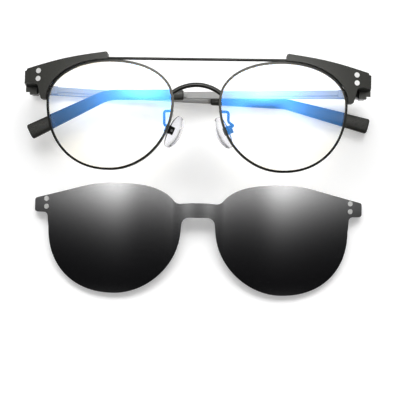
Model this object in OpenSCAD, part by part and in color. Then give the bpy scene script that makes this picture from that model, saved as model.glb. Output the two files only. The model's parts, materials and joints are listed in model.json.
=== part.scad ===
// Eyeglasses with a magnetic sun clip, laid out on a table.
// The glasses lie on their folded temples with the front facing up. The sun clip
// lies in front of them, off its magnets. X runs across the front, Y points to
// the top of the lenses and Z is up, away from the table. Left and right are the
// wearer's, so the left temple is on the +X side.

/* [Lenses and rims] */
// Width of each clear lens
lens_w = 49; // [45:0.5:53]
// Height of each clear lens
lens_h = 42.2; // [38:0.2:46]
// Distance between the two clear lenses
bridge_gap = 19; // [17:0.5:22]
// Height of the widest line above the middle of the lens
lens_widest = 5.6; // [4:0.2:7]
// Radius of the dome that the front follows on each side
dome_r = 130; // [110:1:180]
// Thickness of the clear lenses
lens_t = 1.2; // [1:0.1:1.6]
// Width of the rim wire, seen from the front
rim_w = 0.9; // [0.7:0.05:1.2]
// Depth of the rim wire from front to back
rim_d = 2; // [1.8:0.1:2.4]
// How far the lips of the rim reach over the edge of the lens
rim_lip = 0.25; // [0.15:0.05:0.4]

/* [Bars between the lenses] */
// Diameter of the straight top bar
top_bar_d = 1.1; // [0.8:0.1:1.6]
// Diameter of the arched lower bridge
bridge_d = 1.8; // [1.4:0.1:2.2]
// Height of the crown of the lower bridge above the middle of the lenses
bridge_crown = 12.5; // [10:0.5:14]
// Radius that the lower bridge is bent to
bridge_bend = 15.5; // [14:0.5:20]

/* [Brows] */
// How far each brow end reaches past the rim, sideways
brow_reach = 9.45; // [8:0.05:12]
// Start of the brow, sideways from the middle of the lens
brow_start = 1; // [0:0.5:4]
// Height of the brow above the rim at its inner end
brow_h = 3.1; // [2:0.1:4]
// Thickness of the brow
brow_t = 3.2; // [2.8:0.1:4]
// How far the brow stands in front of the rim
brow_proud = 0.8; // [0.4:0.1:1.2]
// Width of the brow tail beside the rim
tail_w = 2.2; // [1.8:0.1:3]
// Lower end of the brow tail above the middle of the lens
tail_y = 5.8; // [4:0.2:7]
// Depth of the end block behind the dots
block_d = 12; // [10:0.5:14]

/* [Magnets] */
// Diameter of each magnet
magnet_d = 2.1; // [1.6:0.1:2.6]
// Distance of the magnets from the end of the brow
magnet_inset = 5.8; // [4:0.1:7]
// Height of the magnet pair above the middle of the lenses
magnet_y = 15.6; // [14.5:0.1:16.5]
// Distance between the two magnets of a pair
magnet_pitch = 3.2; // [2.8:0.1:3.6]
// Length of the magnets in the brow
magnet_l = 1.6; // [1:0.1:2.2]

/* [Hinges] */
// Height of the hinge barrel
hinge_h = 5.2; // [4:0.1:6]
// Height of the hinge middle above the middle of the lenses
hinge_y = 11.7; // [10.5:0.1:12.5]
// Diameter of the hinge knuckles
knuckle_d = 2.6; // [2.2:0.1:3]
// Diameter of the hinge screw
hinge_screw_d = 1.2; // [1:0.05:1.4]

/* [Temples] */
// Length of the temple from the hinge to the ear bend
temple_l = 104; // [96:1:112]
// Length of the ear tip after the bend
ear_l = 35.5; // [28:0.5:42]
// Height of the temple shaft at the hinge
shaft_h = 3.6; // [3:0.1:4]
// Height of the temple shaft where it enters the sleeve
shaft_end_h = 2.8; // [2.2:0.1:3.2]
// Thickness of the temple shaft
shaft_t = 1.3; // [1:0.1:1.6]
// Length of the metal shaft in front of the sleeve
shaft_l = 72.5; // [66:0.5:80]
// Height of the sleeve along the temple
sleeve_h = 4.3; // [3.8:0.1:5.2]
// Height of the sleeve at its tip
tip_h = 5.3; // [4.6:0.1:6.4]
// Thickness of the sleeve
sleeve_t = 2.6; // [2.2:0.1:3]
// Downward slope of the left temple, as it is adjusted
slope_left = 1.1; // [0:0.1:3]
// Downward slope of the right temple, as it is adjusted
slope_right = 2.2; // [0:0.1:3]
// Ear bend of the left temple, as it is adjusted
bend_left = 25.5; // [10:0.5:35]
// Ear bend of the right temple, as it is adjusted
bend_right = 12; // [10:0.5:35]

/* [Nose pads] */
// Length of each nose pad
pad_l = 13.6; // [11:0.2:15]
// Width of each nose pad
pad_w = 7.4; // [6:0.2:8]
// Thickness of each nose pad
pad_t = 2.1; // [1.6:0.1:2.6]
// Distance of the pad pivots from the middle
pad_x = 11.7; // [10:0.1:13]
// Sideways offset of both pads, as they are adjusted
pad_shift = 1; // [-1:0.1:1.5]
// Height of the pad pivots above the middle of the lenses
pad_y = -4.9; // [-7:0.1:-3]
// Depth of the pad pivots behind the front
pad_z = 8.8; // [8:0.1:10]
// Outward lean of the lower end of the pads
pad_lean = 23; // [15:1:30]
// Backward turn of the left pad
pad_turn_left = 9; // [0:1:35]
// Backward turn of the right pad
pad_turn_right = 25; // [0:1:35]
// Diameter of the pad arm wire
arm_d = 1.1; // [0.8:0.05:1.3]

/* [Sun clip] */
// How far each sun lens reaches past the clear lens, to each side
clip_side_cover = 3; // [1:0.1:4]
// How far the sun lenses stand further apart than the clear ones, on each side
clip_out = 0.7; // [0:0.1:1.5]
// How far the sun lenses reach above the clear ones
clip_top_cover = 3.4; // [2:0.1:5]
// How far the sun lenses reach below the clear ones
clip_bottom_cover = 0.4; // [0:0.1:3]
// Thickness of the sun clip
clip_t = 1.4; // [1.2:0.1:2]
// Top of the clip bridge above the middle of the clear lenses
clip_bridge_top = 16.6; // [16.2:0.1:17.4]
// Height of the clip bridge
clip_bridge_h = 6; // [5:0.1:7]
// How far the middle of the clip bridge stands in front of its ends
clip_arch = 0.3; // [0.1:0.1:1.5]

/* [Layout on the table] */
// Space between the two folded temples
temple_space = 0.5; // [0.3:0.1:1]
// Distance from the middle of the clip lenses up to the clear ones
set_gap = 50.9; // [48:0.1:60]
// Sideways offset of the sun clip from the glasses
set_offset = 1.6; // [-5:0.1:5]

/* [Hidden] */

// Clearances: between seated pieces, in a running bore, and past the end of a cut
seat = 0.03;
run = 0.04;
over = 1;

// Smoothness of the domes, of the small round pieces, and of the formula outlines
dome_fn = 180;
pin_fn = 32;
outline_steps = 24;

// Fronts, measured on the dome of each side
lens_cx = (lens_w + bridge_gap) / 2;
rim_out = rim_w - rim_lip;
rim_top = lens_h / 2 + rim_out;
rim_side = lens_cx + lens_w / 2 + rim_out;
front_w = 2 * (rim_side + brow_reach);
magnet_x = front_w / 2 - magnet_inset;
lens_front_r = dome_r - (rim_d - lens_t) / 2;
brow_front_r = dome_r + brow_proud;
brow_back_r = brow_front_r - brow_t;
clip_seat = 0.1;
clip_back_r = brow_front_r + clip_seat;
clip_front_r = clip_back_r + clip_t;
front_space = 8;

// Exponents of the four quarters of the outlines, from round (2) to square
lens_exponents = [2.2, 2.05, 2.2, 2];
clip_exponents = [2.75, 2.3, 2.25, 1.9];
pad_exponents = [2.2, 2.2, 2.2, 2.2];

// Brow outline
tab_rise = 2.65;
tab_top = magnet_y + tab_rise;
tab_bottom = magnet_y - magnet_pitch;
tab_slant = 0.8;
tab_corner_r = 0.7;
tail_flare = 1.8;
tail_fillet = 2.1;
brow_corner_r = 0.9;
brow_rise_share = 0.52;
brow_bulge = 0.9;
brow_top_r = 150;
brow_gap = 0.15;
block_flare = 1.6;
block_cover = 1.8;

// Rim lock and its screw
lock_y = 10.4;
lock_w = 2.5;
lock_h = 3.6;
lock_slit = 0.25;
lock_front = 3.2;
lock_back = 7.6;
lock_room = 0.15;
lock_screw_d = 1.1;
screw_head_share = 1.6;
head_t = 0.5;
drive_w = 0.28;
drive_t = 0.22;

// End piece and hinge, from the back of the brow block rearwards
end_t = 0.9;
end_top = magnet_y + magnet_pitch / 2;
wing_y = 10.1;
lug_t = 1.1;
lug_gap = 0.3;
leaf_t = 0.7;
leaf_gap = 0.2;
knuckle_gap = 0.06;
knuckle_r = knuckle_d / 2;
hinge_pitch = (hinge_h + knuckle_gap) / 5;
hinge_inset = 1.6;
hinge_x = front_w / 2 - hinge_inset;
hinge_z = block_d + end_t + leaf_t + leaf_gap + knuckle_r;
butt_gap = 0.1;
butt = hinge_z - block_d - end_t - butt_gap;
brow_screw_d = 1.2;
brow_screw_l = 3.5;

// Temple, measured from the hinge axis outwards
strap_gap = 0.15;
strap_t = 0.8;
strap_l = 9;
strap_h = 3.2;
rivet_d = 1;
rivet_pitch = 3.4;
shaft_in = knuckle_r + strap_gap + strap_t;
shaft_out = shaft_in + shaft_t;
core_h = 1.6;
core_t = 1;
core_l = 26;
sleeve_start = shaft_l + seat + sleeve_h / 2 * sin(max(slope_left, slope_right));
sleeve_mid = shaft_out - sleeve_t / 2;
bend_r = 16;
tip_cap = 0.9;
start_cap = 0.7;
start_shares = [0.72, 0.9];
tip_shares = [0.97, 0.9, 0.78];
sleeve_ring = 20;
sleeve_round = 3.4;

// Nose pads, measured from the pivot in the pad box
pad_back = 1.9;
pad_crown_r = 16;
stud_r = 1;
stud_t = 1;
pad_screw_d = 0.96;
box_front = 1.2;
box_h = 3.2;
box_w = 2.7;
box_slot = 1.3;
box_web = 1.15;
box_back = 1.65;
arm_foot_y = 2.2;
arm_out = 3.4;
arm_back = 0.8;
arm_knee = 1.4;
arm_reach = 0.85;
arm_steps = 4;
arm_sides = 14;

// Clip outline
clip_cx = lens_cx + clip_out;
clip_lens_w = lens_w + 2 * clip_side_cover;
clip_top = lens_h / 2 + clip_top_cover;
clip_bottom = lens_h / 2 + clip_bottom_cover;
clip_tab_fall = 3.8;
clip_tab_rise = 1.9;
clip_tab_inset = 0.4;
clip_tab_bottom = magnet_y - clip_tab_fall;
clip_tab_top = magnet_y + clip_tab_rise;
clip_tab_w = front_w / 2 - clip_tab_inset;
clip_tab_r = 1.1;
clip_neck = 0.5;
clip_neck_fillet = 1.6;
clip_gap_half = 6.6;
clip_gap_fillet = 3.2;
clip_crest = 2.6;
clip_crest_r = 20;
clip_dip = 0.55;
// Parts of the oval of a sun lens that stay in the outline, as turns around its middle
clip_low_from = 187.5;
clip_low_to = 360;
clip_high_from = 66;
clip_high_to = 148;
clip_high_steps = 24;
clip_low_steps = 48;
clip_shoulder_r = 3.4;
clip_blend = 10.6;
clip_band_turn = 14;
clip_band_steps = 12;

// Points on the four quarters of an outline: [top inner, top outer, bottom outer, bottom inner]
function power(v, n) = sign(v) * pow(abs(v), 2 / n);
function quarter(t) = t < 90 ? 1 : t < 180 ? 0 : t < 270 ? 3 : 2;
function oval(half_w, up, down, exponents) = [for (i = [0 : 4 * outline_steps - 1])
    let (t = 90 * i / outline_steps, n = exponents[quarter(t)])
    [half_w * power(cos(t), n), (t < 180 ? up : down) * power(sin(t), n)]];
function moved(points, by) = [for (p = points) p + by];
function lens_outline(grow) = moved(
    oval(lens_w / 2 + grow, lens_h / 2 - lens_widest + grow,
        lens_h / 2 + lens_widest + grow, lens_exponents), [lens_cx, lens_widest]);

// An outline with its corners rounded, each to its own radius
function corner(a, p, b, r, steps) = r == 0 ? [p] :
    let (u = (a - p) / norm(a - p), v = (b - p) / norm(b - p),
        half = acos(u * v) / 2, middle = p + (u + v) / norm(u + v) * r / sin(half),
        from = p + u * r / tan(half) - middle, turn = 180 - 2 * half,
        way = sign(cross(p - a, b - p)))
    [for (i = [0 : steps]) let (t = way * turn * i / steps)
        middle + [from.x * cos(t) - from.y * sin(t), from.x * sin(t) + from.y * cos(t)]];
function rounded(points, radii, steps = 6) = [for (i = [0 : len(points) - 1])
    each corner(points[(i + len(points) - 1) % len(points)], points[i],
        points[(i + 1) % len(points)], radii[i], steps)];

// Height of a dome of radius r over a point of the front
function dome_z(r, x, y) = sqrt(r * r - pow(abs(x) - lens_cx, 2) - y * y) - dome_r;

// The other side is the mirror image
module side(s) {
    mirror([s < 0 ? 1 : 0, 0, 0]) children();
}

module prism(points, from = -front_space, to = front_space) {
    translate([0, 0, from]) linear_extrude(to - from) polygon(points);
}

module dome(r) {
    translate([lens_cx, 0, -dome_r]) sphere(r, $fn = dome_fn);
}

module shell(outer, inner) {
    difference() {
        dome(outer);
        dome(inner);
    }
}

// A place at radius r, on the normal that leaves the front of the brow at x and y
module on_dome(x, y, r) {
    across = x - lens_cx;
    translate([lens_cx, 0, -dome_r])
        rotate([0, asin(norm([across, y]) / brow_front_r), atan2(y, across)])
            translate([0, 0, r]) children();
}

// A screw along +Z: its head sits on the plane at zero and its shank points down
module screw(d, l) {
    head_r = d * screw_head_share / 2;
    difference() {
        union() {
            cylinder(r = head_r, h = head_t, $fn = pin_fn);
            translate([0, 0, -l]) cylinder(r = d / 2, h = l + head_t / 2, $fn = pin_fn);
        }
        translate([-head_r - over, -drive_w / 2, head_t - drive_t])
            cube([2 * (head_r + over), drive_w, drive_t + over]);
    }
}

// Lying on the table: the right temple is flat on it and the left temple lies above,
// so the front tilts with its right side down. The middle of the set is over the origin.
rest_tilt = asin((sleeve_t + temple_space) / (2 * hinge_x));
lift = hinge_x * sin(rest_tilt) + hinge_z * cos(rest_tilt) + shaft_out;
hinge_left_x = hinge_x * cos(rest_tilt) + hinge_z * sin(rest_tilt);
hinge_right_x = hinge_x * cos(rest_tilt) - hinge_z * sin(rest_tilt);
function reach(s) = -min([for (r = sleeve_rings(s)) for (p = ring(s, r[0], r[1])) p.x]);
block_x = (front_w / 2 + block_flare) * cos(rest_tilt);
far_left = max(reach(-1) - hinge_right_x, block_x + block_d * sin(rest_tilt));
far_right = max(reach(1) - hinge_left_x, block_x - block_d * sin(rest_tilt));
set_x = (far_right - far_left) / 2;
glasses_y = (set_gap - rim_top - brow_h + clip_bottom) / 2;
clip_y = glasses_y - set_gap;

module glasses() {
    translate([set_x, glasses_y, lift]) rotate([0, -rest_tilt, 0]) children();
}

// Rims, lenses and bars

module rim() {
    difference() {
        intersection() {
            shell(dome_r, dome_r - rim_d);
            difference() {
                prism(lens_outline(rim_out));
                prism(lens_outline(-rim_lip), -front_space - over, front_space + over);
            }
        }
        intersection() {
            shell(lens_front_r + seat, lens_front_r - lens_t - seat);
            prism(lens_outline(seat));
        }
        translate([lens_cx, lock_y - lock_slit / 2, -front_space])
            cube([lens_w, lock_slit, 2 * front_space]);
    }
}

module lens() {
    intersection() {
        shell(lens_front_r, lens_front_r - lens_t);
        prism(lens_outline(0));
    }
}

top_bar_y = rim_top + top_bar_d / 2 + seat;
top_bar_z = dome_z(dome_r - rim_d / 2, lens_cx, rim_top);
top_bar_socket = 1.5;

module top_bar() {
    half = lens_cx + brow_start + top_bar_socket;
    color("dimgray")
        translate([-half, top_bar_y, top_bar_z]) rotate([0, 90, 0])
            cylinder(r = top_bar_d / 2, h = 2 * half, $fn = pin_fn);
}

bridge_z = dome_z(dome_r - rim_d / 2, lens_cx - lens_w / 2, bridge_crown);

module bridge() {
    color("dimgray") difference() {
        translate([0, bridge_crown - bridge_bend, bridge_z]) rotate([0, 0, 45])
            rotate_extrude(angle = 90, $fn = dome_fn)
                translate([bridge_bend, 0]) circle(r = bridge_d / 2, $fn = pin_fn);
        for (s = [-1, 1]) side(s) prism(lens_outline(rim_out), -2 * front_space);
    }
}

// Brows with their magnets

brow_points = [
    [lens_cx + brow_start, tail_y],
    [lens_cx + brow_start, rim_top + brow_h],
    [lens_cx + (front_w / 2 - lens_cx) * brow_rise_share,
        tab_top + (rim_top + brow_h - tab_top) * (1 - brow_rise_share) + brow_bulge],
    [front_w / 2 - tab_slant, tab_top],
    [front_w / 2, tab_bottom],
    [rim_side + tail_w + tail_flare, tab_bottom],
    [rim_side + tail_w, tail_y],
    [rim_side - rim_w, tail_y]];
brow_radii = [0, brow_corner_r, brow_top_r, tab_corner_r, 0, tail_fillet, tab_corner_r, 0];

// Plan of the block behind the tab: it widens to the back, where the hinge sits
block_points = [
    [rim_side + tail_w + block_cover, 0],
    [front_w / 2 - tab_slant, 0],
    [front_w / 2 + block_flare, -block_d],
    [rim_side + tail_w + block_cover, -block_d]];
block_outline = rounded([
    [rim_side + tail_w + block_cover, tab_bottom],
    [front_w / 2 + block_flare, tab_bottom],
    [front_w / 2 + block_flare, tab_top - tab_slant],
    [rim_side + tail_w + block_cover, tab_top + tab_slant]],
    [0, tab_corner_r / 2, tab_corner_r, 0]);

module at_magnets(r) {
    for (k = [-1, 1]) on_dome(magnet_x, magnet_y + k * magnet_pitch / 2, r) children();
}

module at_brow_screws() {
    for (k = [0, 1])
        translate([hinge_x - knuckle_r + k * knuckle_d,
            end_top - brow_screw_d, -block_d - end_t])
            rotate([180, 0, 0]) children();
}

module brow() {
    difference() {
        union() {
            intersection() {
                shell(brow_front_r, brow_back_r);
                prism(rounded(brow_points, brow_radii));
            }
            intersection() {
                dome(brow_front_r - brow_t / 2);
                rotate([90, 0, 0]) translate([0, 0, -tab_top - brow_h])
                    linear_extrude(tab_top + brow_h) polygon(block_points);
                prism(block_outline, -block_d - over, 0);
            }
        }
        prism(lens_outline(rim_out + brow_gap), -2 * front_space, 2 * front_space);
        translate([rim_side - lock_w, lock_y - lock_h / 2 - lock_room - head_t,
            -lock_back - over])
            cube([2 * lock_w + lock_room, lock_h + 2 * lock_room + 2 * head_t,
                lock_back + over - lock_front + lock_room]);
        translate([0, top_bar_y, top_bar_z]) rotate([0, 90, 0])
            cylinder(r = top_bar_d / 2 + seat, h = lens_cx + brow_start + top_bar_socket + seat,
                $fn = pin_fn);
        at_magnets(brow_front_r - magnet_l)
            cylinder(r = magnet_d / 2 + seat, h = magnet_l + over, $fn = pin_fn);
        at_brow_screws() translate([0, 0, -end_t - brow_screw_l])
            cylinder(r = brow_screw_d / 2 + seat, h = brow_screw_l + end_t + over, $fn = pin_fn);
    }
}

module brow_magnets() {
    at_magnets(brow_front_r - magnet_l + seat) cylinder(r = magnet_d / 2, h = magnet_l, $fn = pin_fn);
}

module brow_screws() {
    at_brow_screws() screw(brow_screw_d, brow_screw_l);
}

// Rim locks close the rims behind the brow tails

module rim_lock() {
    difference() {
        translate([rim_side - lock_w / 2, lock_y - lock_h / 2, -lock_back])
            cube([lock_w * 3 / 2, lock_h, lock_back - lock_front]);
        prism(lens_outline(rim_out), -2 * front_space);
        translate([rim_side - lock_w, lock_y - lock_slit / 2, -lock_back - over])
            cube([2 * lock_w + over, lock_slit, lock_back]);
        at_rim_screw() translate([0, 0, -lock_h - over])
            cylinder(r = lock_screw_d / 2 + seat, h = lock_h + 2 * over, $fn = pin_fn);
    }
}

module at_rim_screw() {
    translate([rim_side + lock_w / 2 - lock_screw_d / 2, lock_y + lock_h / 2,
        -(lock_front + lock_back) / 2])
        rotate([-90, 0, 0]) children();
}

module rim_screw() {
    at_rim_screw() screw(lock_screw_d, lock_h);
}

// End pieces carry the hinges: a plate behind the block and a lug to the rim lock

end_left = hinge_x - knuckle_r - end_t;
lug_from = rim_side + lock_w;
hinge_bottom = hinge_y - hinge_h / 2;

module end_piece() {
    difference() {
        union() {
            prism([[end_left, hinge_bottom], [front_w / 2 + seat, hinge_bottom],
                [front_w / 2 + seat, wing_y], [front_w / 2 + block_flare, wing_y],
                [front_w / 2 + block_flare, end_top], [end_left, end_top]],
                -block_d - end_t, -block_d);
            rotate([90, 0, 0]) translate([0, 0, -tab_bottom + lug_gap])
                linear_extrude(tab_bottom - lug_gap - hinge_bottom)
                    polygon([[rim_side + tail_w / 2, -lock_back + lug_t],
                        [lug_from + lug_t, -lock_back + lug_t],
                        [end_left + lug_t, -block_d - end_t / 2],
                        [end_left + lug_t, -block_d - end_t],
                        [end_left, -block_d - end_t],
                        [lug_from, -lock_back - seat],
                        [rim_side + tail_w / 2, -lock_back - seat]]);
        }
        translate([rim_side, lock_y - lock_h, -lock_back - over])
            cube([lock_w + seat, lock_h + lock_slit, lug_t + 2 * over]);
        translate([rim_side, lock_y - lock_h, -lock_back])
            cube([lock_w + seat, 2 * lock_h, lug_t + over]);
        at_brow_screws() translate([0, 0, -end_t - over])
            cylinder(r = brow_screw_d / 2 + seat, h = end_t + 2 * over, $fn = pin_fn);
    }
}

// The knuckles at the given places along the hinge, cut for the screw
module knuckles(places, bore_r) {
    for (k = places) translate([0, k * hinge_pitch, 0]) rotate([-90, 0, 0]) difference() {
        union() {
            cylinder(r = knuckle_r, h = hinge_pitch - knuckle_gap, $fn = pin_fn);
            children();
        }
        translate([0, 0, -over]) cylinder(r = bore_r, h = hinge_h, $fn = pin_fn);
    }
}

module front_hinge() {
    translate([hinge_x, hinge_bottom, -hinge_z]) {
        translate([-knuckle_r - end_t / 2, 0, knuckle_r + leaf_gap])
            cube([knuckle_d + end_t, hinge_h, leaf_t]);
        knuckles([0, 2, 4], hinge_screw_d / 2 + seat / 2)
            translate([-knuckle_r, -knuckle_r - leaf_gap, 0])
                cube([knuckle_d, knuckle_r + leaf_gap, hinge_pitch - knuckle_gap]);
    }
}

module hinge_screw() {
    translate([hinge_x, hinge_bottom + hinge_h, -hinge_z]) rotate([-90, 0, 0])
        screw(hinge_screw_d, hinge_h);
}

// Nose pads

function pad_turn(s) = s > 0 ? pad_turn_left : pad_turn_right;
function pivot(s) = [pad_x + s * pad_shift, pad_y, -pad_z];
function turned(p, a) = [p.x * cos(a) + p.z * sin(a), p.y, p.z * cos(a) - p.x * sin(a)];
function leaned(p, a) = [p.x * cos(a) - p.y * sin(a), p.x * sin(a) + p.y * cos(a), p.z];
function pad_spot(s, p) = pivot(s) + leaned(turned(p, -pad_turn(s)), pad_lean);

// In the pad's own frame X points away from the nose, Y along the pad and Z across it
module pad_place(s) {
    side(s) translate(pivot(s)) rotate([0, 0, pad_lean]) rotate([0, -pad_turn(s), 0]) children();
}

module nose_pad() {
    difference() {
        union() {
            intersection() {
                translate([-pad_back, 0, 0]) rotate([0, -90, 0])
                    linear_extrude(pad_t)
                        polygon(oval(pad_w / 2, pad_l / 2, pad_l / 2, pad_exponents));
                translate([pad_crown_r - pad_back - pad_t, 0, 0]) sphere(pad_crown_r, $fn = dome_fn);
            }
            translate([-pad_back - seat, -stud_r, -stud_t / 2])
                cube([pad_back + seat, 2 * stud_r, stud_t]);
            translate([0, 0, -stud_t / 2]) cylinder(r = stud_r, h = stud_t, $fn = pin_fn);
        }
        translate([0, 0, -stud_t]) cylinder(r = pad_screw_d / 2 + run, h = 2 * stud_t, $fn = pin_fn);
    }
}

module pad_box() {
    difference() {
        translate([-box_front, -box_h / 2, -box_w / 2]) cube([box_front + box_back, box_h, box_w]);
        translate([-box_front - over, -box_h, -box_slot / 2])
            cube([box_front + over + box_web, 2 * box_h, box_slot]);
        translate([0, 0, -box_w]) cylinder(r = pad_screw_d / 2 + seat / 2, h = 2 * box_w, $fn = pin_fn);
    }
}

module pad_screw() {
    translate([0, 0, -box_w / 2]) rotate([180, 0, 0]) screw(pad_screw_d, box_w);
}

// A wire along the given corners, each rounded off over the given reach
function unit(v) = v / norm(v);
function bent(corners, reach) = [corners[0],
    for (i = [1 : len(corners) - 2]) let (p = corners[i], a = p + unit(corners[i - 1] - p) * reach,
        b = p + unit(corners[i + 1] - p) * reach)
        each [for (k = [0 : arm_steps]) let (t = k / arm_steps)
            a * pow(1 - t, 2) + p * 2 * t * (1 - t) + b * pow(t, 2)],
    corners[len(corners) - 1]];
function ways(points) = [for (i = [0 : len(points) - 1])
    unit(points[min(i + 1, len(points) - 1)] - points[max(i - 1, 0)])];
function normals(ways, i, before) = i == len(ways) ? [] :
    let (n = unit(before - ways[i] * (before * ways[i]))) concat([n], normals(ways, i + 1, n));

module wire(corners, d, reach) {
    points = bent(corners, reach);
    along = ways(points);
    across = normals(along, 0, [1, 0, 0]);
    loft([for (i = [0 : len(points) - 1]) [for (k = [0 : arm_sides - 1])
        let (a = 360 * k / arm_sides, up = cross(along[i], across[i]))
        points[i] + (across[i] * cos(a) + up * sin(a)) * d / 2]]);
}

module pad_arm(s) {
    foot = [lens_cx - lens_w / 2, arm_foot_y, dome_z(dome_r - rim_d, lens_cx - lens_w / 2, arm_foot_y) - seat];
    elbow = foot + [arm_out, 0, -arm_back];
    end = pad_spot(s, [box_back + seat, box_h / 4, 0]);
    knee = pad_spot(s, [box_back + arm_knee, box_h / 4, 0]);
    wire([foot, foot - [0, 0, arm_d], elbow - [0, 0, arm_d], [elbow.x, knee.y + arm_knee, knee.z],
        knee, end], arm_d, arm_reach);
}

// Temples: folded flat, with the origin on the hinge axis and the tip towards -X

module temple_place(s) {
    translate([set_x, glasses_y + hinge_y, shaft_out]) side(s)
        translate(s > 0 ? [hinge_left_x, 0, 2 * hinge_x * sin(rest_tilt)] : [hinge_right_x, 0, 0])
            children();
}

module temple_hinge() {
    difference() {
        union() {
            translate([0, -hinge_h / 2, 0]) knuckles([1, 3], hinge_screw_d / 2 + run)
                translate([-knuckle_r, 0, 0])
                    cube([knuckle_r, knuckle_r + strap_gap + strap_t / 2, hinge_pitch - knuckle_gap]);
            translate([-strap_l, -strap_h / 2, -shaft_in]) cube([strap_l, strap_h, strap_t]);
        }
        at_rivets() cylinder(r = rivet_d / 2 + seat, h = 2 * shaft_in, center = true, $fn = pin_fn);
    }
}

module at_rivets() {
    for (k = [0, 1]) translate([-strap_l + rivet_d + k * rivet_pitch, 0, -shaft_in]) children();
}

module temple_rivets() {
    at_rivets() translate([0, 0, -shaft_t]) cylinder(r = rivet_d / 2, h = shaft_t + strap_t, $fn = pin_fn);
}

// How far the middle line of the temple has come down at x
function slope(s) = s > 0 ? slope_left : slope_right;
function drop(s, x) = x * tan(slope(s));

module temple_shaft(s) {
    difference() {
        union() {
            translate([0, 0, -shaft_out]) linear_extrude(shaft_t)
                polygon([[butt, drop(s, butt) + shaft_h / 2],
                    [butt, drop(s, butt) - shaft_h / 2],
                    [-shaft_l, drop(s, -shaft_l) - shaft_end_h / 2],
                    [-shaft_l, drop(s, -shaft_l) + shaft_end_h / 2]]);
            translate([0, 0, -sleeve_mid - core_t / 2]) linear_extrude(core_t)
                polygon([[-shaft_l + over, drop(s, -shaft_l) + core_h / 2],
                    [-shaft_l + over, drop(s, -shaft_l) - core_h / 2],
                    [-shaft_l - core_l, drop(s, -shaft_l - core_l) - core_h / 2],
                    [-shaft_l - core_l, drop(s, -shaft_l - core_l) + core_h / 2]]);
        }
        at_rivets() cylinder(r = rivet_d / 2 + seat, h = 3 * shaft_t, center = true, $fn = pin_fn);
    }
}

// The middle line of the sleeve: straight, then an arc, then the ear tip
function ear_bend(s) = s > 0 ? bend_left : bend_right;
function sleeve_way(s, t) =
    let (bend = ear_bend(s), arc = bend_r * bend * PI / 180, from = temple_l - arc / 2,
        turn = max(0, min(bend, (t - from) / (bend_r * PI / 180))),
        run_out = max(0, t - from - arc), straight = min(t, from))
    [-straight - bend_r * sin(turn) - run_out * cos(turn),
        -bend_r * (1 - cos(turn)) - run_out * sin(turn), turn];
function lowered(s, p) = [p.x * cos(slope(s)) - p.y * sin(slope(s)),
    p.x * sin(slope(s)) + p.y * cos(slope(s))];

// One ring of the sleeve, at length t, of the given share of its full size
function ring(s, t, share) =
    let (w = sleeve_way(s, t), past = max(0, (t - temple_l) / ear_l),
        h = (sleeve_h + (tip_h - sleeve_h) * past) * share / 2, b = sleeve_t * share / 2)
    [for (i = [0 : sleeve_ring - 1])
        let (a = 360 * i / sleeve_ring, up = h * power(cos(a), sleeve_round),
            q = lowered(s, [w.x - up * sin(w[2]), w.y + up * cos(w[2])]))
        [q.x, q.y, -sleeve_mid + b * power(sin(a), sleeve_round)]];

function sleeve_rings(s) =
    let (end = temple_l + ear_l, arc = bend_r * ear_bend(s) * PI / 180)
    [[sleeve_start, start_shares[0]], [sleeve_start + start_cap / 3, start_shares[1]],
        [sleeve_start + start_cap, 1],
        [temple_l - arc / 2, 1], [temple_l - arc / 4, 1], [temple_l, 1], [temple_l + arc / 4, 1],
        [temple_l + arc / 2, 1], [(temple_l + arc / 2 + end) / 2, 1], [end - tip_cap, 1],
        [end - tip_cap / 2, tip_shares[0]], [end - tip_cap / 5, tip_shares[1]],
        [end, tip_shares[2]]];

// A closed skin through the rings
module loft(rings) {
    n = len(rings[0]);
    last = len(rings) - 1;
    points = [for (r = rings) each r];
    sides = [for (k = [0 : last - 1], i = [0 : n - 1]) let (j = (i + 1) % n)
        each [[k * n + i, k * n + j, (k + 1) * n + i], [k * n + j, (k + 1) * n + j, (k + 1) * n + i]]];
    caps = [[for (i = [n - 1 : -1 : 0]) i], [for (i = [0 : n - 1]) last * n + i]];
    polyhedron(points, concat(sides, caps));
}

module ear_sleeve(s) {
    difference() {
        loft([for (r = sleeve_rings(s)) ring(s, r[0], r[1])]);
        translate([0, 0, -sleeve_mid - core_t / 2 - seat]) linear_extrude(core_t + 2 * seat)
            polygon([[-sleeve_start + over, drop(s, -sleeve_start) + core_h / 2 + seat],
                [-sleeve_start + over, drop(s, -sleeve_start) - core_h / 2 - seat],
                [-shaft_l - core_l - seat, drop(s, -shaft_l - core_l) - core_h / 2 - seat],
                [-shaft_l - core_l - seat, drop(s, -shaft_l - core_l) + core_h / 2 + seat]]);
    }
}

// Sun clip: one domed sheet, drawn where it would dock and then laid on the table

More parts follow.
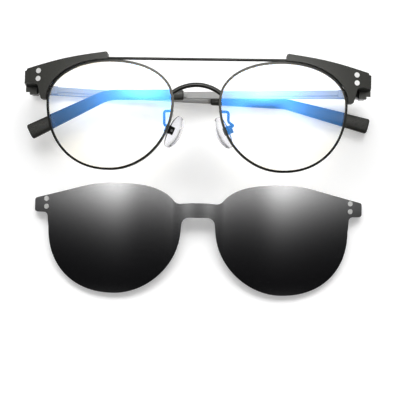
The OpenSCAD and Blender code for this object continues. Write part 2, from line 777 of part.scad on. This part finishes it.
// Half of its outline, from the middle along the lower edge, round the end tab and back
// along the upper edge
clip_bridge_bottom = clip_bridge_top - clip_bridge_h;
function clip_edge(turn) = let (n = clip_exponents[quarter(turn)])
    [clip_cx + clip_lens_w / 2 * power(cos(turn), n), lens_widest
        + (turn < 180 ? clip_top - lens_widest : clip_bottom + lens_widest) * power(sin(turn), n)];
function clip_arc(from, to, steps) = [for (i = [0 : steps]) clip_edge(from + (to - from) * i / steps)];
function none(points) = [for (p = points) 0];
shoulder = clip_edge(clip_high_to);
shoulder_way = clip_edge(clip_high_to + 1) - clip_edge(clip_high_to - 1);
shoulder_foot = clip_bridge_top - clip_dip;
clip_low = clip_arc(clip_low_from, clip_low_to, clip_low_steps);
clip_high = clip_arc(clip_high_from, clip_high_to, clip_high_steps);
clip_half = rounded(concat(
    [[0, clip_bridge_bottom], [clip_gap_half, clip_bridge_bottom]],
    clip_low,
    [[clip_cx + clip_lens_w / 2 + clip_neck, clip_tab_bottom],
        [clip_tab_w, clip_tab_bottom], [clip_tab_w, clip_tab_top]],
    clip_high,
    [[shoulder.x + (shoulder_foot - shoulder.y) * shoulder_way.x / shoulder_way.y, shoulder_foot],
        [clip_crest, clip_bridge_top], [0, clip_bridge_top]]),
    concat([0, clip_gap_fillet], none(clip_low), [clip_neck_fillet, clip_tab_r, clip_tab_r],
        none(clip_high), [clip_shoulder_r, clip_crest_r, 0]), 8);
clip_points = concat(clip_half, [for (i = [len(clip_half) - 2 : -1 : 1]) [-clip_half[i].x, clip_half[i].y]]);

// Radius of the clip at a distance x from its middle, around the line that runs across
// through the centres of both domes. It leaves each dome with the slope of the dome.
function band_r(r, x) =
    let (across = lens_cx - clip_blend, end = sqrt(r * r - across * across), t = x / clip_blend)
    end + clip_arch * (2 * pow(t, 3) - 3 * pow(t, 2) + 1)
        + across / end * clip_blend * (pow(t, 3) - pow(t, 2));
function band_side(r) = [for (i = [-clip_band_steps : clip_band_steps])
    let (x = clip_blend * i / clip_band_steps) [band_r(r, abs(x)), x]];
function backwards(points) = [for (i = [len(points) - 1 : -1 : 0]) points[i]];

module clip_band() {
    translate([0, 0, -dome_r]) rotate([0, -90, 0]) rotate([0, 0, -clip_band_turn])
        rotate_extrude(angle = 2 * clip_band_turn, $fn = dome_fn)
            polygon(concat(band_side(clip_front_r), backwards(band_side(clip_back_r))));
}

// Lean that brings the tabs and the lower edges down to the same height
function clip_back(p) = dome_z(clip_back_r, p.x, p.y);
tab_foot = [clip_tab_w, magnet_y];
low_foot = [clip_cx, -clip_bottom];
clip_lean = atan((clip_back(low_foot) - clip_back(tab_foot)) / (tab_foot.y - low_foot.y));
clip_lift = -min([for (p = clip_half) p.y * sin(clip_lean) + clip_back(p) * cos(clip_lean)]);

module clip_place() {
    translate([set_x + set_offset, clip_y, clip_lift]) rotate([clip_lean, 0, 0]) children();
}

module clip_sheet() {
    color([0.1, 0.1, 0.11]) difference() {
        union() {
            intersection() {
                clip_band();
                prism(clip_points, -2 * front_space);
            }
            for (s = [-1, 1]) side(s) intersection() {
                shell(clip_front_r, clip_back_r);
                translate([clip_blend, -clip_lens_w, -2 * front_space])
                    cube([front_w, 2 * clip_lens_w, 4 * front_space]);
                prism(clip_points, -2 * front_space);
            }
        }
        for (s = [-1, 1]) side(s) at_magnets(clip_back_r - over)
            cylinder(r = magnet_d / 2 + seat, h = clip_t + 2 * over, $fn = pin_fn);
    }
}

module clip_magnets() {
    at_magnets(clip_back_r - seat) cylinder(r = magnet_d / 2, h = clip_t + 2 * seat, $fn = pin_fn);
}

metal = [0.2, 0.2, 0.2];
black = [0.13, 0.13, 0.12];
steel = [0.7, 0.7, 0.72];
silver = [0.86, 0.86, 0.85];
clear = [0.8, 0.88, 0.95, 0.4];

color(metal) glasses() side(1) rim();  // rim_left
color(metal) glasses() side(-1) rim();  // rim_right
color(clear) glasses() side(1) lens();  // lens_left
color(clear) glasses() side(-1) lens();  // lens_right
glasses() top_bar();
glasses() bridge();
color(black) glasses() side(1) brow();  // brow_left
color(black) glasses() side(-1) brow();  // brow_right
color(silver) glasses() side(1) brow_magnets();  // brow_magnets_left
color(silver) glasses() side(-1) brow_magnets();  // brow_magnets_right
color(steel) glasses() side(1) brow_screws();  // brow_screws_left
color(steel) glasses() side(-1) brow_screws();  // brow_screws_right
color(metal) glasses() side(1) rim_lock();  // rim_lock_left
color(metal) glasses() side(-1) rim_lock();  // rim_lock_right
color(steel) glasses() side(1) rim_screw();  // rim_screw_left
color(steel) glasses() side(-1) rim_screw();  // rim_screw_right
color(metal) glasses() side(1) end_piece();  // end_piece_left
color(metal) glasses() side(-1) end_piece();  // end_piece_right
color(metal) glasses() side(1) front_hinge();  // front_hinge_left
color(metal) glasses() side(-1) front_hinge();  // front_hinge_right
color(steel) glasses() side(1) hinge_screw();  // hinge_screw_left
color(steel) glasses() side(-1) hinge_screw();  // hinge_screw_right
color(metal) glasses() side(1) pad_arm(1);  // pad_arm_left
color(metal) glasses() side(-1) pad_arm(-1);  // pad_arm_right
color(metal) glasses() pad_place(1) pad_box();  // pad_box_left
color(metal) glasses() pad_place(-1) pad_box();  // pad_box_right
color(steel) glasses() pad_place(1) pad_screw();  // pad_screw_left
color(steel) glasses() pad_place(-1) pad_screw();  // pad_screw_right
color(clear) glasses() pad_place(1) nose_pad();  // nose_pad_left
color(clear) glasses() pad_place(-1) nose_pad();  // nose_pad_right
color(metal) temple_place(1) temple_hinge();  // temple_hinge_left
color(metal) temple_place(-1) temple_hinge();  // temple_hinge_right
color(steel) temple_place(1) temple_rivets();  // temple_rivets_left
color(steel) temple_place(-1) temple_rivets();  // temple_rivets_right
color(steel) temple_place(1) temple_shaft(1);  // temple_shaft_left
color(steel) temple_place(-1) temple_shaft(-1);  // temple_shaft_right
color(black) temple_place(1) ear_sleeve(1);  // ear_sleeve_left
color(black) temple_place(-1) ear_sleeve(-1);  // ear_sleeve_right
clip_place() clip_sheet();
color(silver) clip_place() side(1) clip_magnets();  // clip_magnets_left
color(silver) clip_place() side(-1) clip_magnets();  // clip_magnets_right
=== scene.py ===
# Looks, light and camera for the eyeglasses with the magnetic sun clip.
# Everything is in metres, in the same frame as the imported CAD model.

import json
import math

import bpy
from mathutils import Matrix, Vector


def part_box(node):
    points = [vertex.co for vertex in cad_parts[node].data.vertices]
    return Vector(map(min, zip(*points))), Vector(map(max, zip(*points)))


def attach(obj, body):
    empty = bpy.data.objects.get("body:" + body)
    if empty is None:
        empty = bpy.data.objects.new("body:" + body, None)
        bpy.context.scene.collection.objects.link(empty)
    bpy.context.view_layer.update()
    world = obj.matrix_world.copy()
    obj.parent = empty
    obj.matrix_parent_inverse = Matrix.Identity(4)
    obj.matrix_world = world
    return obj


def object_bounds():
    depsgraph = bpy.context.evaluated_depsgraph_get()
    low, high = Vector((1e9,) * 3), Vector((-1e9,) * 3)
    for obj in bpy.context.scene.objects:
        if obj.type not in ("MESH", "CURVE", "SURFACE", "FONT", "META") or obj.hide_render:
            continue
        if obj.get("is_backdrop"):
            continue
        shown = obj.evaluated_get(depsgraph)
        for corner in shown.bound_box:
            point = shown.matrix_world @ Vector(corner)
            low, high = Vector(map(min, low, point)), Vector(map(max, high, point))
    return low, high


MM = 0.001
WHITE = (1.0, 1.0, 1.0, 1.0)

# Camera, as fitted to the photograph: straight above the table and rolled a little. SENSOR is in
# millimetres, as Blender's cameras have it.
CAMERA_HEIGHT = 268 * MM
CAMERA_X = 1.073 * MM
CAMERA_Y = -9.13 * MM
CAMERA_ROLL = math.radians(1.05)
CAMERA_NEAR = 10 * MM
CAMERA_FAR = 20
FOCAL_PIXELS = 638
IMAGE_PIXELS = 400
SENSOR = 36

# Softbox above the table, which only reflections show. GLOW_HALF and GLOW_FALL say how it fades to
# its sides, GLOW_NEAR and GLOW_NEAR_SOFT how it fades towards the sun clip, and GLOW_FAR where it
# ends beyond the glasses.
PANEL_HEIGHT = 400 * MM
PANEL_HALF = 360 * MM
GLOW_STRENGTH = 32.0
GLOW_HALF = 80 * MM
GLOW_FALL = 2.0
GLOW_NEAR = 70 * MM
GLOW_NEAR_SOFT = 50 * MM
GLOW_FAR = (200 * MM, 300 * MM)

# Its dimmer middle, which ends halfway along
DIP_DEPTH = 0.86
DIP_WIDTH = 72 * MM
DIP_FALL = 4.0
DIP_END = (100 * MM, 150 * MM)

# Its grid: light leaves it in full up to the first slant and not at all past the second. A sideways
# slant counts less.
GRID = (math.tan(math.radians(29)), math.tan(math.radians(34)))
GRID_SIDEWAYS = 0.5

# World: even light from all sides, and a broad soft key light beyond the tops of the glasses,
# which reflections show at a plain level
AMBIENT = 0.2
KEY = 24.0
KEY_MIRRORED = 1.5
KEY_RISE = (math.sin(math.radians(14)), math.sin(math.radians(22)))
KEY_FALL = (math.sin(math.radians(34)), math.sin(math.radians(44)))
KEY_NARROW = 4.0

# Floor: its size and colour, and how much brighter the camera sees it
FLOOR_HALF = 3.0
FLOOR_COLOUR = 0.84
FLOOR_ROUGHNESS = 0.9
FLOOR_LIFT = 0.30

# Grain of the materials: the part of the noise that is spread to the full range, and the height
# and strength of the bumps
GRAIN_DETAIL = 3.0
GRAIN_RANGE = (0.3, 0.7)
GRAIN_HEIGHT = 0.002 * MM
SUN_LENS_HEIGHT = 0.0006 * MM
METAL_BUMP = 0.4
PLASTIC_BUMP = 0.3
WAVE_SHARE = 0.25
CLEAR_GRAIN = 0.6

# How much of its sideways curve the sun clip shows in its shading
SUN_LENS_CURVE = 0.5

# Rounded edges
FINE_EDGE = 0.06 * MM
EDGE = 0.12 * MM
BROAD_EDGE = 0.28 * MM
BEVEL_SEGMENTS = 2
SMOOTH_ANGLE = math.radians(24)
WELD = 0.001 * MM

# Temples as the solids have them: their length to the ear bend, how they slope and how the tip
# bends. Here the tips also grow wider towards their end.
SIDES = ("left", "right")
TEMPLE_LENGTH = 104 * MM
TIP_LENGTH = 35.5 * MM
SLOPE = {"left": math.radians(1.1), "right": math.radians(2.2)}
EAR_BEND = {"left": math.radians(25.5), "right": math.radians(12)}
TIP_SPREAD = 0.2
TIP_POWER = 0.7

# Nose pads: how their long axis leans in the solids, and how far each is turned about it here
PAD_LEAN = math.radians(23)
PAD_TURN = {"left": math.radians(30), "right": math.radians(18)}

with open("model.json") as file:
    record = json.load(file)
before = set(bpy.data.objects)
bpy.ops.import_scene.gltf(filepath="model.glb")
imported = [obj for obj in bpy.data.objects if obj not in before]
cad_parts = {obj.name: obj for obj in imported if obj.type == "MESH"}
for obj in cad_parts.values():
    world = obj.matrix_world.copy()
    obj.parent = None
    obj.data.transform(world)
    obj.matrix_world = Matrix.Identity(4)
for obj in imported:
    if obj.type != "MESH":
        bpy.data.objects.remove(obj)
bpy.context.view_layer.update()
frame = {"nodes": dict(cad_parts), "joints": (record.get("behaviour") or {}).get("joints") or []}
nodes = frame["nodes"]
joint_places = {j["name"]: Vector(j["pos_m"]) for j in frame["joints"] if "pos_m" in j}


# Node helpers

def arithmetic(tree, operation, *values):
    """A Math node. Numbers are set on its inputs and sockets are linked to them."""
    node = tree.nodes.new("ShaderNodeMath")
    node.operation = operation
    for socket, value in zip(node.inputs, values):
        if isinstance(value, (int, float)):
            socket.default_value = value
        else:
            tree.links.new(value, socket)
    return node.outputs[0]


def ramp(tree, value, start, end):
    """Rises smoothly from 0 at start to 1 at end."""
    node = tree.nodes.new("ShaderNodeMapRange")
    node.interpolation_type = "SMOOTHSTEP"
    node.inputs["From Min"].default_value = start
    node.inputs["From Max"].default_value = end
    tree.links.new(value, node.inputs["Value"])
    return node.outputs["Result"]


def vector_math(tree, operation, first, second=None):
    """A Vector Math node on one or two vectors, or for SCALE on a vector and a number."""
    node = tree.nodes.new("ShaderNodeVectorMath")
    node.operation = operation
    second_socket = node.inputs["Scale"] if operation == "SCALE" else node.inputs[1]
    for socket, value in ((node.inputs[0], first), (second_socket, second)):
        if isinstance(value, bpy.types.NodeSocket):
            tree.links.new(value, socket)
        elif value is not None:
            socket.default_value = value
    return node.outputs["Value" if operation == "DOT_PRODUCT" else "Vector"]


def one_minus(tree, value):
    """1 less the value."""
    return arithmetic(tree, "SUBTRACT", 1.0, value)


def separate(tree, vector):
    """The X, Y and Z sockets of a vector."""
    node = tree.nodes.new("ShaderNodeSeparateXYZ")
    tree.links.new(vector, node.inputs[0])
    return node.outputs["X"], node.outputs["Y"], node.outputs["Z"]


def geometry_group(name):
    """An empty group of geometry nodes, with the sockets where its geometry comes in and goes out."""
    group = bpy.data.node_groups.new(name, "GeometryNodeTree")
    group.interface.new_socket("Geometry", in_out="INPUT", socket_type="NodeSocketGeometry")
    group.interface.new_socket("Geometry", in_out="OUTPUT", socket_type="NodeSocketGeometry")
    start = group.nodes.new("NodeGroupInput").outputs[0]
    end = group.nodes.new("NodeGroupOutput").inputs[0]
    return group, start, end


# Materials

def principled(name, **sockets):
    """A material with one Principled shader, its sockets set by their names."""
    material = bpy.data.materials.new(name)
    material.use_nodes = True
    shader = material.node_tree.nodes["Principled BSDF"]
    for socket, value in sockets.items():
        shader.inputs[socket.replace("_", " ")].default_value = value
    return material, material.node_tree, shader


def grain(tree, scale):
    """Noise in the object's own millimetres. Returns its output socket."""
    place = tree.nodes.new("ShaderNodeTexCoord")
    mapping = tree.nodes.new("ShaderNodeMapping")
    mapping.inputs["Scale"].default_value = (1 / MM, 1 / MM, 1 / MM)
    noise = tree.nodes.new("ShaderNodeTexNoise")
    noise.inputs["Scale"].default_value = scale
    noise.inputs["Detail"].default_value = GRAIN_DETAIL
    tree.links.new(place.outputs["Object"], mapping.inputs["Vector"])
    tree.links.new(mapping.outputs["Vector"], noise.inputs["Vector"])
    return noise.outputs["Fac"]


def spread(tree, source, low, high):
    """Maps the usual range of the noise to the range low to high."""
    node = tree.nodes.new("ShaderNodeMapRange")
    node.inputs["From Min"].default_value = GRAIN_RANGE[0]
    node.inputs["From Max"].default_value = GRAIN_RANGE[1]
    node.inputs["To Min"].default_value = low
    node.inputs["To Max"].default_value = high
    tree.links.new(source, node.inputs["Value"])
    return node.outputs["Result"]


def blend_colours(tree, source, first, second):
    """Mixes two colours by a 0 to 1 value."""
    node = tree.nodes.new("ShaderNodeMix")
    node.data_type = "RGBA"
    node.inputs["A"].default_value = (*first, 1)
    node.inputs["B"].default_value = (*second, 1)
    tree.links.new(source, node.inputs["Factor"])
    return node.outputs["Result"]


def bumps(tree, shader, source, height, strength):
    """Adds a bump of the given height in metres to the shader."""
    node = tree.nodes.new("ShaderNodeBump")
    node.inputs["Distance"].default_value = height
    node.inputs["Strength"].default_value = strength
    tree.links.new(source, node.inputs["Height"])
    tree.links.new(node.outputs["Normal"], shader.inputs["Normal"])


def grained(tree, shader, scale, dark, light, rough):
    """Gives a shader its colour and roughness by the grain, and returns the grain."""
    fine = grain(tree, scale)
    tree.links.new(blend_colours(tree, spread(tree, fine, 0, 1), dark, light),
                   shader.inputs["Base Color"])
    tree.links.new(spread(tree, fine, *rough), shader.inputs["Roughness"])
    return fine


def metal(name, dark, light, rough, scale):
    """Metal with a fine grain in its colour, gloss and surface."""
    material, tree, shader = principled(name, Metallic=1.0)
    fine = grained(tree, shader, scale, dark, light, rough)
    bumps(tree, shader, fine, GRAIN_HEIGHT, METAL_BUMP)
    return material


def plastic(name, dark, light, rough, scale, ior=1.5, level=0.5, height=GRAIN_HEIGHT):
    """Polished plastic with faint waves from the polishing wheel."""
    material, tree, shader = principled(name, IOR=ior, Specular_IOR_Level=level)
    grained(tree, shader, scale, dark, light, rough)
    bumps(tree, shader, grain(tree, scale * WAVE_SHARE), height, PLASTIC_BUMP)
    return material


def clear(name, colour, ior, rough, shade, **sockets):
    """Clear material. Its shadow has only the given share of a full one."""
    material, tree, shader = principled(
        name, Base_Color=(*colour, 1), IOR=ior, Transmission_Weight=1.0, **sockets)
    tree.links.new(spread(tree, grain(tree, CLEAR_GRAIN), *rough), shader.inputs["Roughness"])
    shadow = tree.nodes.new("ShaderNodeLightPath").outputs["Is Shadow Ray"]
    tree.links.new(arithmetic(tree, "MULTIPLY_ADD", shadow, shade - 1.0, 1.0), shader.inputs["Alpha"])
    return material


def calm_across(material, share):
    """Shades a domed sheet as if it had only this share of its sideways curve."""
    tree = material.node_tree
    bump = next(n for n in tree.nodes if n.bl_idname == "ShaderNodeBump")
    normal = tree.nodes.new("ShaderNodeNewGeometry").outputs["Normal"]
    flat = vector_math(tree, "MULTIPLY", normal, Vector((share, 1, 1)))
    tree.links.new(vector_math(tree, "NORMALIZE", flat), bump.inputs["Normal"])


gunmetal = metal(
    "gunmetal", dark=(0.016, 0.016, 0.015), light=(0.028, 0.028, 0.026), rough=(0.26, 0.38), scale=9)
temple_paint = plastic(
    "temple paint", dark=(0.35, 0.35, 0.345), light=(0.39, 0.39, 0.385), rough=(0.42, 0.55), scale=6,
    level=0.03)
steel = metal(
    "screw steel", dark=(0.34, 0.34, 0.35), light=(0.46, 0.46, 0.47), rough=(0.22, 0.36), scale=14)
nickel = metal(
    "magnet nickel", dark=(0.60, 0.60, 0.59), light=(0.68, 0.68, 0.67), rough=(0.34, 0.46), scale=10)
brow_black = plastic(
    "brow black", dark=(0.020, 0.020, 0.017), light=(0.027, 0.027, 0.023), rough=(0.30, 0.42), scale=3,
    level=0.25)
sleeve_black = plastic(
    "sleeve black", dark=(0.030, 0.030, 0.027), light=(0.038, 0.038, 0.034), rough=(0.24, 0.34),
    scale=2.5, level=0.14)
sun_lens = plastic(
    "sun lens", dark=(0.007, 0.007, 0.008), light=(0.009, 0.009, 0.010), rough=(0.13, 0.16), scale=1.2,
    ior=2.2, height=SUN_LENS_HEIGHT)
calm_across(sun_lens, SUN_LENS_CURVE)
coated_lens = clear(
    "coated lens", colour=(0.98, 0.99, 1.0), ior=2.2, rough=(0.0, 0.015), shade=0.12,
    Specular_IOR_Level=1.0, Specular_Tint=(0.075, 0.36, 1.0, 1))
silicone = clear("silicone", colour=(0.86, 0.86, 0.90), ior=1.5, rough=(0.10, 0.18), shade=0.5)


# Edges: the CAD faces are joined again, shaded smooth, and their edges rounded

def smoothing_group():
    """Geometry nodes that join the faces of a CAD mesh and shade all but its edges smooth."""
    group, start, end = geometry_group("smooth faces")
    make, link = group.nodes.new, group.links.new
    weld = make("GeometryNodeMergeByDistance")
    weld.inputs["Distance"].default_value = WELD
    forget = make("GeometryNodeRemoveAttribute")
    forget.inputs["Name"].default_value = "custom_normal"
    faces = make("GeometryNodeSetShadeSmooth")
    faces.domain = "FACE"
    edges = make("GeometryNodeSetShadeSmooth")
    edges.domain = "EDGE"
    angle = make("GeometryNodeInputMeshEdgeAngle")
    small = make("FunctionNodeCompare")
    small.data_type = "FLOAT"
    small.operation = "LESS_THAN"
    small.inputs["B"].default_value = SMOOTH_ANGLE
    link(start, weld.inputs["Geometry"])
    link(weld.outputs["Geometry"], forget.inputs["Geometry"])
    link(forget.outputs["Geometry"], faces.inputs[0])
    link(faces.outputs[0], edges.inputs[0])
    link(angle.outputs["Unsigned Angle"], small.inputs["A"])
    link(small.outputs["Result"], edges.inputs["Shade Smooth"])
    link(edges.outputs[0], end)
    return group


smooth_faces = smoothing_group()


def dress(name, material, edge):
    """Gives a CAD node its material and rounds its edges."""
    piece = nodes[name]
    piece.data.materials.clear()
    piece.data.materials.append(material)
    join = piece.modifiers.new("smooth faces", "NODES")
    join.node_group = smooth_faces
    if edge:
        bevel = piece.modifiers.new("rounded edges", "BEVEL")
        bevel.width = edge
        bevel.segments = BEVEL_SEGMENTS
        bevel.limit_method = "ANGLE"
        bevel.angle_limit = SMOOTH_ANGLE
        bevel.harden_normals = True
        bevel.use_clamp_overlap = True


# Material and edge of each kind of node, by the start of its name
LOOKS = {
    "rim": (gunmetal, EDGE),
    "lens": (coated_lens, 0),
    "top_bar": (gunmetal, 0),
    "bridge": (gunmetal, 0),
    "brow": (brow_black, BROAD_EDGE),
    "brow_magnets": (nickel, FINE_EDGE),
    "brow_screws": (steel, FINE_EDGE),
    "rim_lock": (gunmetal, EDGE),
    "rim_screw": (steel, FINE_EDGE),
    "end_piece": (gunmetal, EDGE),
    "front_hinge": (gunmetal, EDGE),
    "hinge_screw": (steel, FINE_EDGE),
    "pad_arm": (gunmetal, 0),
    "pad_box": (gunmetal, EDGE),
    "pad_screw": (steel, FINE_EDGE),
    "nose_pad": (silicone, BROAD_EDGE),
    "temple_hinge": (temple_paint, EDGE),
    "temple_rivets": (temple_paint, FINE_EDGE),
    "temple_shaft": (temple_paint, EDGE),
    "ear_sleeve": (sleeve_black, 0),
    "clip_sheet": (sun_lens, EDGE),
    "clip_magnets": (nickel, FINE_EDGE),
}

for node_name in nodes:
    kind = max((k for k in LOOKS if node_name.startswith(k)), key=len)
    dress(node_name, *LOOKS[kind])


# Ear tips and nose pads: modifiers move the points of their solids

def move_points(piece, name, new_place):
    """Moves the points of a piece to new_place(group, place), which builds the nodes for it."""
    group, start, end = geometry_group(name)
    move = group.nodes.new("GeometryNodeSetPosition")
    place = group.nodes.new("GeometryNodeInputPosition").outputs[0]
    group.links.new(start, move.inputs["Geometry"])
    group.links.new(new_place(group, place), move.inputs["Position"])
    group.links.new(move.outputs[0], end)
    piece.modifiers.new(name, "NODES").node_group = group


def towards_tip(side, slope):
    """Direction from a temple's hinge to its tip, lowered by the slope."""
    across = -1 if side == "left" else 1
    return Vector((across * math.cos(slope), -math.sin(slope), 0))


def widen_tip(side):
    """Widens the sleeve across the tip, from nothing at the ear bend to the full share at its end."""
    piece = nodes["ear_sleeve_" + side]
    to_piece = piece.matrix_world.inverted()
    bend = joint_places["temple_" + side + "_hinge"] + TEMPLE_LENGTH * towards_tip(side, SLOPE[side])
    heading = towards_tip(side, SLOPE[side] + EAR_BEND[side])
    along = to_piece.to_3x3() @ heading
    across = to_piece.to_3x3() @ Vector((-heading.y, heading.x, 0))

    def wider(group, place):
        from_bend = vector_math(group, "SUBTRACT", place, to_piece @ bend)
        past = arithmetic(group, "DIVIDE", vector_math(group, "DOT_PRODUCT", from_bend, along), TIP_LENGTH)
        past = arithmetic(group, "MINIMUM", arithmetic(group, "MAXIMUM", past, 0.0), 1.0)
        grow = arithmetic(group, "MULTIPLY", arithmetic(group, "POWER", past, TIP_POWER), TIP_SPREAD)
        aside = vector_math(group, "DOT_PRODUCT", from_bend, across)
        offset = vector_math(group, "SCALE", across, arithmetic(group, "MULTIPLY", grow, aside))
        return vector_math(group, "ADD", place, offset)

    move_points(piece, "wider tip", wider)


def turn_pad(side):
    """Turns a pad with its box and screw more face up, about its long axis through its joint."""
    mirror = 1 if side == "left" else -1
    axis = Vector((-mirror * math.sin(PAD_LEAN), math.cos(PAD_LEAN), 0))
    for stem in ("nose_pad_", "pad_box_", "pad_screw_"):
        piece = nodes[stem + side]
        to_piece = piece.matrix_world.inverted()

        def turned(group, place):
            turn = group.nodes.new("ShaderNodeVectorRotate")
            turn.rotation_type = "AXIS_ANGLE"
            turn.inputs["Center"].default_value = to_piece @ joint_places["pad_" + side + "_rock"]
            turn.inputs["Axis"].default_value = to_piece.to_3x3() @ axis
            turn.inputs["Angle"].default_value = -mirror * PAD_TURN[side]
            group.links.new(place, turn.inputs["Vector"])
            return turn.outputs[0]

        move_points(piece, "turned pad", turned)


for side in SIDES:
    widen_tip(side)
    turn_pad(side)


# Floor: it keeps the shadows and goes down with a temple that opens below it

def square(name, half, material):
    """A flat square around the origin that isn't part of the object."""
    mesh = bpy.data.meshes.new(name)
    mesh.from_pydata([(-half, -half, 0), (half, -half, 0), (half, half, 0), (-half, half, 0)],
                     [], [(0, 1, 2, 3)])
    mesh.materials.append(material)
    sheet = bpy.data.objects.new(name, mesh)
    bpy.context.scene.collection.objects.link(sheet)
    sheet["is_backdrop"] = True
    return sheet


def floor_material():
    """Pale floor that the camera sees as white, also in metal and through the lenses."""
    material, tree, shader = principled(
        "floor", Base_Color=(FLOOR_COLOUR, FLOOR_COLOUR, FLOOR_COLOUR, 1),
        Roughness=FLOOR_ROUGHNESS, Specular_IOR_Level=0.0, Emission_Color=WHITE)
    path = tree.nodes.new("ShaderNodeLightPath").outputs
    seen = arithmetic(tree, "MAXIMUM", path["Is Camera Ray"], path["Is Transmission Ray"])
    shown = arithmetic(tree, "MAXIMUM", seen, path["Is Glossy Ray"])
    tree.links.new(arithmetic(tree, "MULTIPLY", shown, FLOOR_LIFT), shader.inputs["Emission Strength"])
    return material


floor = square("floor", FLOOR_HALF, floor_material())

for side in SIDES:
    low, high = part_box("ear_sleeve_" + side)
    tip_x = low.x if side == "left" else high.x
    tip = bpy.data.objects.new("tip_" + side, None)
    tip.location = (tip_x, low.y, 0)
    bpy.context.scene.collection.objects.link(tip)
    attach(tip, "temple_" + side)
    stop = floor.constraints.new("FLOOR")
    stop.target = tip
    stop.floor_location = "FLOOR_NEGATIVE_Z"


# Light: a softbox that only reflections show, and a world with a low key light

def fading(tree, value, power):
    """1 over 1 plus the value to the power."""
    return arithmetic(tree, "DIVIDE", 1.0, arithmetic(
        tree, "ADD", 1.0, arithmetic(tree, "POWER", value, power)))


def aside_of(tree, across, width):
    """Distance from the middle of the panel, in widths."""
    return arithmetic(tree, "DIVIDE", arithmetic(tree, "ABSOLUTE", across), width)


def glow_shape(tree):
    """How bright each place of the panel is, from 0 to 1."""
    place = tree.nodes.new("ShaderNodeTexCoord").outputs["Object"]
    across, along, _ = separate(tree, place)
    wide = fading(tree, aside_of(tree, across, GLOW_HALF), GLOW_FALL)
    reach = arithmetic(tree, "DIVIDE", arithmetic(tree, "SUBTRACT", GLOW_NEAR, along), GLOW_NEAR_SOFT)
    near = arithmetic(tree, "DIVIDE", 1.0, arithmetic(
        tree, "ADD", 1.0, arithmetic(tree, "EXPONENT", reach)))
    far = one_minus(tree, ramp(tree, along, *GLOW_FAR))
    middle = arithmetic(tree, "EXPONENT", arithmetic(tree, "MULTIPLY", arithmetic(
        tree, "POWER", aside_of(tree, across, DIP_WIDTH), DIP_FALL), -1.0))
    early = one_minus(tree, ramp(tree, along, *DIP_END))
    dip = arithmetic(tree, "MULTIPLY", arithmetic(tree, "MULTIPLY", middle, early), DIP_DEPTH)
    sides = arithmetic(tree, "MULTIPLY", wide, one_minus(tree, dip))
    return arithmetic(tree, "MULTIPLY", sides, arithmetic(tree, "MULTIPLY", near, far))


def grid_share(tree):
    """How much of the panel's light its grid lets out in each direction. On a lamp, Incoming is the
    direction in which the light leaves it."""
    x, y, z = separate(tree, tree.nodes.new("ShaderNodeNewGeometry").outputs["Incoming"])
    x = arithmetic(tree, "MULTIPLY", x, GRID_SIDEWAYS)
    level = arithmetic(tree, "SQRT", arithmetic(
        tree, "ADD", arithmetic(tree, "MULTIPLY", x, x), arithmetic(tree, "MULTIPLY", y, y)))
    slant = arithmetic(tree, "DIVIDE", level, arithmetic(tree, "ABSOLUTE", z))
    return one_minus(tree, ramp(tree, slant, *GRID))


def glow_panel():
    """The softbox, above the table."""
    material = bpy.data.materials.new("glow")
    material.use_nodes = True
    tree = material.node_tree
    tree.nodes.clear()
    shown = arithmetic(tree, "MULTIPLY", glow_shape(tree), grid_share(tree))
    shine = tree.nodes.new("ShaderNodeEmission")
    tree.links.new(arithmetic(tree, "MULTIPLY", shown, GLOW_STRENGTH), shine.inputs["Strength"])
    surface = tree.nodes.new("ShaderNodeOutputMaterial").inputs["Surface"]
    tree.links.new(shine.outputs[0], surface)
    panel = square("glow_panel", PANEL_HALF, material)
    panel.location.z = PANEL_HEIGHT
    panel.visible_camera = False
    panel.visible_diffuse = False
    panel.visible_transmission = False
    panel.visible_shadow = False


def world_light():
    """The world: even light, the key light, and white for the camera and through the lenses."""
    world = bpy.data.worlds.new("studio")
    bpy.context.scene.world = world
    world.use_nodes = True
    tree = world.node_tree
    make, link = tree.nodes.new, tree.links.new
    tree.nodes.clear()
    _, beyond, height = separate(tree, make("ShaderNodeTexCoord").outputs["Generated"])
    band = arithmetic(tree, "MULTIPLY", ramp(tree, height, *KEY_RISE),
                      one_minus(tree, ramp(tree, height, *KEY_FALL)))
    facing = arithmetic(tree, "POWER", arithmetic(tree, "MAXIMUM", beyond, 0.0), KEY_NARROW)
    path = make("ShaderNodeLightPath").outputs
    key = arithmetic(tree, "MULTIPLY_ADD", path["Is Glossy Ray"], KEY_MIRRORED - KEY, KEY)
    level = arithmetic(tree, "MULTIPLY_ADD", arithmetic(tree, "MULTIPLY", band, facing), key, AMBIENT)
    seen = arithmetic(tree, "MAXIMUM", path["Is Camera Ray"], path["Is Transmission Ray"])
    lit, plain = make("ShaderNodeBackground"), make("ShaderNodeBackground")
    lit.inputs["Color"].default_value = WHITE
    plain.inputs["Color"].default_value = WHITE
    plain.inputs["Strength"].default_value = 1.0
    mix = make("ShaderNodeMixShader")
    link(level, lit.inputs["Strength"])
    link(seen, mix.inputs["Fac"])
    link(lit.outputs[0], mix.inputs[1])
    link(plain.outputs[0], mix.inputs[2])
    link(mix.outputs[0], make("ShaderNodeOutputWorld").inputs["Surface"])


glow_panel()
world_light()
bpy.context.scene.view_settings.view_transform = "Standard"


# Camera, and the low and high corners of the shown object's bounds

camera_data = bpy.data.cameras.new("camera")
camera_data.sensor_width = SENSOR
camera_data.lens = SENSOR * FOCAL_PIXELS / IMAGE_PIXELS
camera_data.clip_start = CAMERA_NEAR
camera_data.clip_end = CAMERA_FAR
camera = bpy.data.objects.new("camera", camera_data)
camera.location = (CAMERA_X, CAMERA_Y, CAMERA_HEIGHT)
camera.rotation_euler = (0, 0, CAMERA_ROLL)
bpy.context.scene.collection.objects.link(camera)
bpy.context.scene.camera = camera

low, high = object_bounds()
